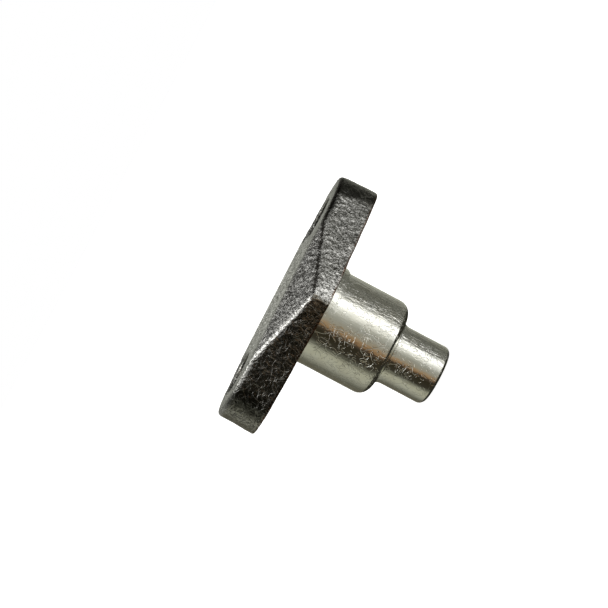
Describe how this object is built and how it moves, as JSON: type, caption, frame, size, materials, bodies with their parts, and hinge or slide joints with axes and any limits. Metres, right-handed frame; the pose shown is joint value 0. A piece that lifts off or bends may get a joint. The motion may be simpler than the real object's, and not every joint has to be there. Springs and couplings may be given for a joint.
{
  "type": "flanged stepped spindle",
  "caption": "Black lozenge flange with two bolt holes on a bright stepped steel spindle, the turning hub of a potter's banding wheel.",
  "frame": {"origin": "centre of the flat outer face of the head, midway between the two bolt holes", "axes": "+Z out of the outer face towards the wheel that bolts to it, -Z along the spindle to its free end, X through the two bolt holes"},
  "size_m": [0.0692, 0.0496, 0.0455],
  "materials": {
    "black_casting": "black wrinkled casting skin, with a grey ground outer face",
    "turned_steel": "bright turned and burnished steel with fine scratches"
  },
  "bodies": {
    "root": {"flange_head": "black_casting", "stepped_spindle": "turned_steel"}
  },
  "joints": []
}
